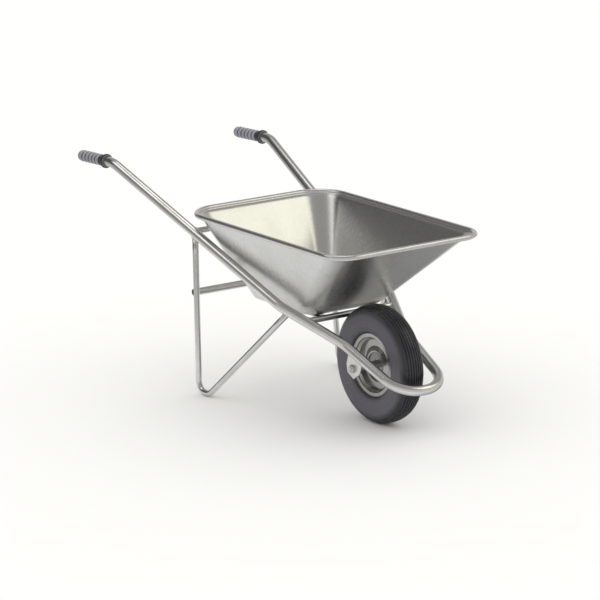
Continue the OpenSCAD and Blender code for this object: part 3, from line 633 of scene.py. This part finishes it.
# ================================================================ grips
def grip_profile():
    """(radius, distance from the end) from the middle of the end face to the mouth."""
    ribs, start, pitch = 6, 15.0, 21.0
    rib_l, rib_h, groove_r = 15.5, 3.3, GRIP_R - 1.9
    steps = 13
    out = [(0.02, 0.0)] + arc(GRIP_R - GRIP_END_R, GRIP_END_R, GRIP_END_R, -90, -8, 8)
    for i in range(ribs):
        foot = start + i * pitch - 2.5
        # a wide rounded rib, then a narrow groove
        for k in range(steps):
            rise = rib_h * math.sin(math.pi * (k + 0.5) / steps) ** 0.45
            out.append((groove_r + rise, foot + rib_l * k / (steps - 1)))
        out += [(groove_r, foot + rib_l + 1.6), (groove_r, foot + rib_l + 3.6)]
    collar, round_r = GRIP_L - 9.0, 2.6
    out += [(GRIP_R - 1.8, collar - 4), (GRIP_R - 1.2, collar - 1.2)]
    out += arc(COLLAR_R - round_r, collar + round_r, round_r, -90, 0, 6)
    out += arc(COLLAR_R - round_r, GRIP_L - round_r, round_r, 0, 90, 6)
    out += [(FRAME_R + 1.2, GRIP_L), (FRAME_R + 0.3, GRIP_L - 0.8), (FRAME_R + 0.05, GRIP_L - 3),
            (FRAME_R + 0.05, GRIP_L - 30)]
    return out


for side, flip in (("left", Vector), ("right", other)):
    grip = lathe(grip_profile(), flip(HANDLE_END), flip(HANDLE_DIR), (0, 0, 1), 72)
    add_piece(side + "_grip_smooth", *grip, "grip_rubber", "frame", (side + "_grip",))


# ================================================================ tray
TILT = math.radians(0.7)
TRAY_X, TRAY_Z = AXLE_X - 268.5, 626.0
HALF_L, HALF_W = 453.0, 307.5
SHEET, BEAD_R = 1.5, 9.0
FLOOR_Z = -281.0 + SHEET
FLOOR_FRONT, FLOOR_L, FLOOR_HALF_W = 89.0, 334.0, 164.5
FLOOR_FRONT_R, FLOOR_REAR_R = 62.0, 40.0
RIM_FRONT_R, RIM_REAR_R = 91.0, 125.0
WALL_IN_FRONT, WALL_IN_REAR, WALL_IN_SIDE = 26.0, 22.0, 23.0     # the wall's top, inside the rim
WALL_FRONT_R, WALL_REAR_R, WALL_TOP_Z = 73.0, 91.0, -3.0
FOOT_BEND, LIP_Z = 13.0, -13.0      # size of the bend at the floor, and where the lip begins
BEAD_FROM, BEAD_TURN = 184.0, 326.0     # the curl starts here, in degrees, and goes round by this much
BOLT_X, BOLT_Y, DIMPLE_R, DIMPLE_D = FLOOR_FRONT - 40.0, 110.0, 16.0, 3.5


def from_tray(p):
    """From the tray's own frame, whose origin is the middle of the rim, to the whole object's."""
    x, y, z = p
    return Vector((TRAY_X + x * math.cos(TILT) - z * math.sin(TILT), y,
                   TRAY_Z + z * math.cos(TILT) + x * math.sin(TILT)))


def tray_outline(x0, x1, half_w, front_r, rear_r):
    """Points and outward directions round a rounded rectangle, always the same number."""
    out = []

    def corner(cx, cy, r, a0):
        for k in range(29):
            t = k / 28
            a = math.radians(a0 + 90 * t)
            out.append((cx + r * math.cos(a), cy + r * math.sin(a), math.cos(a), math.sin(a)))

    def side(xa, ya, xb, yb, n, nx, ny):
        for k in range(1, n):
            # closer together near the corners
            t = 0.5 - 0.5 * math.cos(math.pi * k / n)
            out.append((xa + (xb - xa) * t, ya + (yb - ya) * t, nx, ny))

    corner(x1 - front_r, half_w - front_r, front_r, 0)
    side(x1 - front_r, half_w, x0 + rear_r, half_w, 40, 0, 1)
    corner(x0 + rear_r, half_w - rear_r, rear_r, 90)
    side(x0, half_w - rear_r, x0, rear_r - half_w, 24, -1, 0)
    corner(x0 + rear_r, rear_r - half_w, rear_r, 180)
    side(x0 + rear_r, -half_w, x1 - front_r, -half_w, 40, 0, -1)
    corner(x1 - front_r, front_r - half_w, front_r, 270)
    side(x1, front_r - half_w, x1, half_w - front_r, 24, 1, 0)
    return out


def dimple(x, y):
    """How far the floor is pressed down round its two bolts."""
    d = math.hypot(x - BOLT_X, abs(y) - BOLT_Y)
    t = min(1.0, max(0.0, (d - DIMPLE_R + 3.0) / 6.0))
    return DIMPLE_D * (1 - t * t * (3 - 2 * t))


def bezier(points, t):
    """A point on the curve that these three or four points control."""
    while len(points) > 1:
        points = [a.lerp(b, t) for a, b in zip(points, points[1:])]
    return points[0]


floor_ring = tray_outline(FLOOR_FRONT - FLOOR_L + SHEET, FLOOR_FRONT - SHEET, FLOOR_HALF_W - SHEET,
                          FLOOR_FRONT_R - SHEET, FLOOR_REAR_R - SHEET)
wall_ring = tray_outline(-HALF_L + WALL_IN_REAR + SHEET, HALF_L - WALL_IN_FRONT - SHEET,
                         HALF_W - WALL_IN_SIDE - SHEET, WALL_FRONT_R - SHEET, WALL_REAR_R - SHEET)
bead_ring = tray_outline(-HALF_L + BEAD_R, HALF_L - BEAD_R, HALF_W - BEAD_R,
                         RIM_FRONT_R - BEAD_R, RIM_REAR_R - BEAD_R)
count = len(floor_ring)

rings = []
# the floor: rings that widen from the middle
FLOOR_STEPS = 58
FLOOR_MIDDLE = FLOOR_FRONT - FLOOR_L / 2
for i in range(FLOOR_STEPS):
    s = 0.02 + 0.98 * i / FLOOR_STEPS
    ring = []
    for fx, fy, nx, ny in floor_ring:
        x = FLOOR_MIDDLE + (fx - FLOOR_MIDDLE - FOOT_BEND * nx) * s
        y = (fy - FOOT_BEND * ny) * s
        ring.append(Vector((x, y, FLOOR_Z - dimple(x, y))))
    rings.append(ring)
# the rounded edge, the wall, the flared lip and the curl round the wire
columns = []
for (fx, fy, nx, ny), (wx, wy, _, _), (bx, by, ox, oy) in zip(floor_ring, wall_ring, bead_ring):
    foot, top = Vector((fx, fy, FLOOR_Z)), Vector((wx, wy, WALL_TOP_Z))
    climb = (top - foot).normalized()
    inward = foot - Vector((nx, ny, 0)) * FOOT_BEND
    low = foot + climb * FOOT_BEND
    lip = foot + climb * ((LIP_Z - FLOOR_Z) / climb.z)
    out = Vector((ox, oy, 0))

    def on_bead(angle):
        a = math.radians(angle)
        return Vector((bx, by, 0)) + (out * math.cos(a) + Vector((0, 0, math.sin(a)))) * BEAD_R

    join = on_bead(BEAD_FROM)
    turn_in = math.radians(BEAD_FROM)
    tangent = out * math.sin(turn_in) - Vector((0, 0, math.cos(turn_in)))
    flare = [lip, lip + climb * 8, join - tangent * 4, join]
    column = [bezier([inward, foot, low], k / 7) for k in range(8)]
    column += [low.lerp(lip, k / 27) for k in range(1, 28)]
    column += [bezier(flare, k / 8) for k in range(1, 9)]
    column += [on_bead(BEAD_FROM - BEAD_TURN * k / 30) for k in range(1, 31)]
    columns.append(column)
for k in range(len(columns[0])):
    rings.append([c[k] for c in columns])
# a pressed sheet is never quite flat: broad hollows a few tenths of a millimetre deep
waves = random.Random(7)
terms = [(waves.uniform(0.006, 0.017), waves.uniform(0.006, 0.017), waves.uniform(0.006, 0.017),
          waves.uniform(0, 6.3)) for _ in range(6)]


def waviness(p):
    fade = min(1.0, max(0.0, (-14.0 - p.z) / 60.0)) * min(1.0, max(0.0, (p.z + 266.0) / 40.0))
    return fade * 0.16 * sum(math.sin(a * p.x + b * p.y + c * p.z + d) for a, b, c, d in terms)


points = []
for ring in rings:
    for k, p in enumerate(ring):
        points.append(from_tray(p + Vector((floor_ring[k][2], floor_ring[k][3], 0)) * waviness(p)))
faces = grid_faces(len(rings), count)
faces.append(tuple(range(count - 1, -1, -1)))
# the sheet is open where the two floor bolts go through
HOLE_R, FLOOR_BELOW = 4.4, 360.0
hole_x = from_tray((BOLT_X, 0, FLOOR_Z)).x


def in_hole(face):
    middle = sum((points[i] for i in face), Vector()) / len(face)
    return middle.z < FLOOR_BELOW and math.hypot(middle.x - hole_x, abs(middle.y) - BOLT_Y) < HOLE_R


faces = [tuple(reversed(f)) for f in faces if not in_hole(f)]
tray = add_piece("tray_sheet", points, faces, "tray_steel", "frame", ("tray",))
skin = tray.modifiers.new("sheet", "SOLIDIFY")
skin.thickness = SHEET * MM
skin.offset = -1
skin.use_even_offset = False


# ================================================================ tyre
def mirror_profile(half):
    """A profile from the middle outwards, continued on the other side."""
    return [(r, -y) for r, y in reversed(half)] + half


def tyre_profile():
    """One half of the outside, from the middle of the tread to the bead inside the flange."""
    top, wide_r, half_w, power = 200.0, 163.0, 47.5, 2.3
    bead_r, bead_y = 109.5, 36.0
    tread_half_w, step_y = 36.0, 0.35
    grooves, groove_half_w, groove_depth = (0.0, 9.5, 19.0, 28.0), 2.1, 3.4

    def crown(y):
        return wide_r + (top - wide_r) * (1 - (abs(y) / half_w) ** power) ** (1 / power)

    half = []
    y = 0.0
    while y < tread_half_w:
        depth = 0.0
        for g in grooves:
            d = abs(y - g)
            if d < groove_half_w:
                depth = max(depth, groove_depth * min(1.0, (groove_half_w - d) / 0.8) ** 0.6)
        half.append((crown(y) - depth, y))
        y += step_y
    # shoulder ridge, then the smooth sidewall
    half += [(crown(36.3) - 0.2, 36.3), (crown(37.2) - 0.7, 37.1), (crown(38.2) - 1.5, 37.8)]
    shoulder_r = crown(38.0) - 2.6
    for i in range(4, 33):
        reach = math.cos(math.radians(90 * i / 32))
        r = wide_r + (shoulder_r - wide_r) * reach
        w = half_w * (1 - ((r - wide_r) / (top - wide_r)) ** power) ** (1 / power) - 0.5 * reach
        half.append((r, w))
    for i in range(1, 41):
        a = math.radians(90 * i / 40)
        r = wide_r - (wide_r - bead_r) * math.sin(a)
        w = bead_y + (half_w - bead_y) * math.cos(a)
        # a moulded ring on the sidewall and the two fitting lines above the flange
        for centre, height, wide in ((152.0, 0.9, 1.6), (124.0, 1.3, 1.8), (117.5, 0.9, 1.2)):
            w += height * math.exp(-((r - centre) / wide) ** 2)
        half.append((r, w))
    half += [(109.0, 35.4), (108.8, 33.0), (108.6, 30.9), (104.0, 30.8), (96.8, 30.7), (96.7, 24.0)]
    return half


def tyre_cavity():
    """One half of the inside, from the bead to the middle under the tread."""
    wide_r, bead_r, bead_y, side_y = 163.0, 104.5, 23.0, 42.5
    half = [(bead_r, bead_y)]
    for degrees in range(6, 91, 6):
        a = math.radians(degrees)
        half.append((wide_r - (wide_r - bead_r) * math.cos(a), bead_y + (side_y - bead_y) * math.sin(a)))
    for degrees in range(6, 90, 6):
        a = math.radians(degrees)
        half.append((wide_r + 28.0 * math.sin(a), side_y * math.cos(a) ** 0.87))
    return half + [(191.0, 0.0)]


profile = mirror_profile(tyre_profile()[1:])
profile = [p for i, p in enumerate(profile) if i == 0 or math.dist(p, profile[i - 1]) > 0.05]
cavity = tyre_cavity()
profile += cavity + [(r, -y) for r, y in reversed(cavity[:-1])]
tyre = lathe(profile, (AXLE_X, 0, AXLE_Z), (0, 1, 0), (1, 0, 0), 224, closed=True)
add_piece("tyre_ribbed", *tyre, "tyre_rubber", "wheel", ("tyre",), smooth_angle=40)


# ================================================================ fasteners and threads
def hex_nut(centre, axis, across, flats, height, bore_r):
    """A nut with its corners chamfered on both faces, and a chamfered bore."""
    axis = Vector(axis).normalized()
    u = (Vector(across) - axis * Vector(across).dot(axis)).normalized()
    v = axis.cross(u)
    segments = 72
    chamfer = flats / 2 * 0.98

    def hexagon(a):
        return flats / 2 / math.cos((a + math.pi / 6) % (math.pi / 3) - math.pi / 6)

    rows = [(bore_r, 0.9), (bore_r + 0.8, 0.0), (chamfer, 0.0), (None, 0.0), (None, height),
            (chamfer, height), (bore_r + 0.8, height), (bore_r, height - 0.9)]
    points = []
    for r, h in rows:
        for k in range(segments):
            a = 2 * math.pi * k / segments
            radius, z = r, h
            if r is None:
                radius = hexagon(a)
                drop = (radius - chamfer) * 0.5
                z = drop if h == 0.0 else h - drop
            points.append(Vector(centre) + axis * z + (u * math.cos(a) + v * math.sin(a)) * radius)
    return points, grid_faces(len(rows), segments, wrap_rows=True)


def join_parts(parts):
    """Several sets of points and faces as one."""
    points, faces = [], []
    for p, f in parts:
        start = len(points)
        points += p
        faces += [tuple(i + start for i in face) for face in f]
    return points, faces


def thread_profile(r, start, end, pitch, tip=1.2):
    """Outer profile of a thread of plain rings, from start to a chamfered end, as (radius, height)."""
    out = [(r, start)]
    depth = pitch * 0.5
    n = int((end - tip - start) / pitch)
    for i in range(n):
        h = start + (i + 0.5) * pitch
        out += [(r, h - 0.3 * pitch), (r - depth, h - 0.05 * pitch),
                (r - depth, h + 0.05 * pitch), (r, h + 0.3 * pitch)]
    return out + [(r, end - tip), (r - tip, end), (0.02, end)]


# the axle and its nuts
AXLE_R, AXLE_END_R, AXLE_END_Y = 10.0, 8.0, 124.0
BRACKET_Y, BRACKET_FACE, WASHER_FACE = 108.0, 112.0, 114.0
NUT_FLATS, NUT_H = 24.0, 8.0
parts = [hex_nut((AXLE_X, side * WASHER_FACE, AXLE_Z), (0, side, 0), (0.2, 0, 1), NUT_FLATS, NUT_H,
                 AXLE_END_R + 0.05) for side in (1, -1)]
add_piece("axle_nuts_chamfered", *join_parts(parts), "fastener_zinc", "frame", ("axle_nuts",),
          smooth_angle=25)

axle_half = [(AXLE_R, 0.0), (AXLE_R, BRACKET_Y - 1), (AXLE_R - 1, BRACKET_Y), (AXLE_END_R, BRACKET_Y),
             (AXLE_END_R, BRACKET_FACE)]
axle_half += thread_profile(AXLE_END_R, WASHER_FACE, AXLE_END_Y, 2.0)
axle_profile = [(r, -h) for r, h in reversed(axle_half[1:])] + axle_half
add_piece("axle_threaded", *lathe(axle_profile, (AXLE_X, 0, AXLE_Z), (0, 1, 0), (1, 0, 0), 64),
          "axle_steel", "frame", ("axle",), smooth_angle=35)

# the tray's two floor bolts: low domed heads on threaded shanks
HEAD_R, HEAD_H, SHANK_R, SHANK_L = 10.0, 2.6, 4.0, 17.6
DOME_R = (HEAD_R ** 2 + (HEAD_H - 0.6) ** 2) / (2 * (HEAD_H - 0.6))
bolt_profile = [(0.02, -HEAD_H)]
for k in range(1, 13):
    r = HEAD_R * k / 12
    bolt_profile.append((r, DOME_R - HEAD_H - math.sqrt(DOME_R ** 2 - r * r)))
bolt_profile += [(HEAD_R, 0.0), (SHANK_R, 0.0), (SHANK_R, 6.0)]
bolt_profile += thread_profile(SHANK_R, 6.5, SHANK_L, 1.25, 0.8)
down = Vector((math.sin(TILT), 0, -math.cos(TILT)))
parts = [lathe(bolt_profile, from_tray((BOLT_X, side * BOLT_Y, FLOOR_Z - DIMPLE_D)), down, (0, 1, 0), 48)
         for side in (1, -1)]
add_piece("tray_bolts_domed", *join_parts(parts), "fastener_zinc", "frame", ("tray_bolts",), smooth_angle=35)

# the valve cap, ribbed for the fingers, on its axis through the wheel
VALVE_Y, CAP_R, CAP_FOOT, CAP_L = 17.0, 4.6, 62.0, 11.0
CAP_BORE_R, CAP_TOP, CAP_ROUND, CAP_RIBS = 3.85, 2.2, 1.4, 12
cap_profile = [(0.02, 0.0)] + arc(CAP_R - CAP_ROUND, CAP_ROUND, CAP_ROUND, -90, 0, 5)
cap_profile += [(CAP_R, CAP_L - 0.5), (CAP_R - 0.5, CAP_L), (CAP_BORE_R, CAP_L), (CAP_BORE_R, CAP_TOP),
                (0.02, CAP_TOP)]
cap_points, cap_faces = lathe(cap_profile, (0, 0, 0), (0, 0, 1), (1, 0, 0), 72)
for p in cap_points:
    if math.hypot(p.x, p.y) > CAP_R - 0.3:
        trim = 1 - 0.03 * (1 + math.cos(CAP_RIBS * math.atan2(p.y, p.x)))
        p.x *= trim
        p.y *= trim
    p += Vector((AXLE_X, VALVE_Y, AXLE_Z + CAP_FOOT))
add_piece("valve_cap_ribbed", cap_points, cap_faces, "cap_plastic", "wheel", ("valve_cap",), smooth_angle=40)
